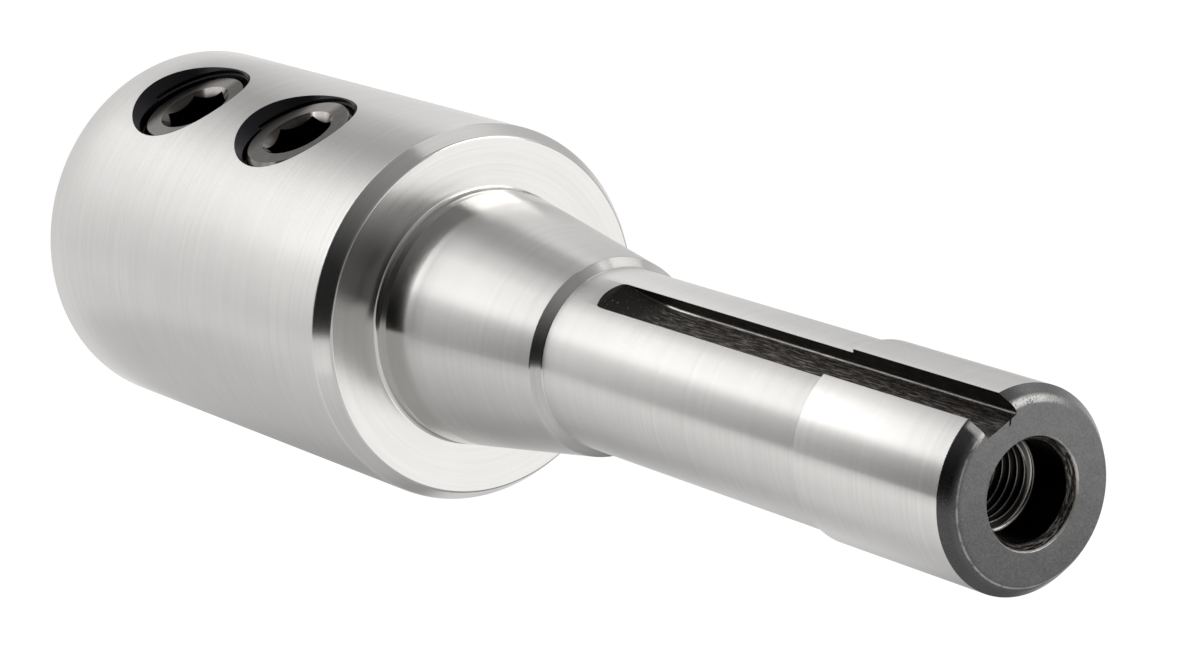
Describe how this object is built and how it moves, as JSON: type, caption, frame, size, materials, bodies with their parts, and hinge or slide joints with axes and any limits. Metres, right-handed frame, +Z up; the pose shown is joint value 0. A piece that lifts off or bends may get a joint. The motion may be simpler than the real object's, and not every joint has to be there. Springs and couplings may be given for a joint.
{
  "type": "end mill holder",
  "caption": "Side-lock end mill holder: plain round body with a blind tool bore, short taper, keyed parallel shank and set screws in one wall.",
  "frame": {"origin": "centre of the nose face, which the holder stands on", "axes": "+Z up the holder's axis to the drawbar end of the shank, the keyway on the -Y side"},
  "size_m": [0.0492, 0.0492, 0.1797],
  "materials": {
    "ground_steel": "satin ground steel",
    "blackened_steel": "blackened steel"
  },
  "bodies": {
    "holder_body": {"holder": "ground_steel"},
    "nose_screw": {"nose_set_screw": "blackened_steel"},
    "upper_screw": {"upper_set_screw": "blackened_steel"}
  },
  "joints": [
    {"name": "nose_screw_travel", "type": "slide", "parent": "holder_body", "child": "nose_screw", "axis": [-0.0401, -0.9992, 0], "range_m": [-0.002, 0.004]},
    {"name": "upper_screw_travel", "type": "slide", "parent": "holder_body", "child": "upper_screw", "axis": [-0.0401, -0.9992, 0], "range_m": [-0.0027, 0.004]}
  ]
}
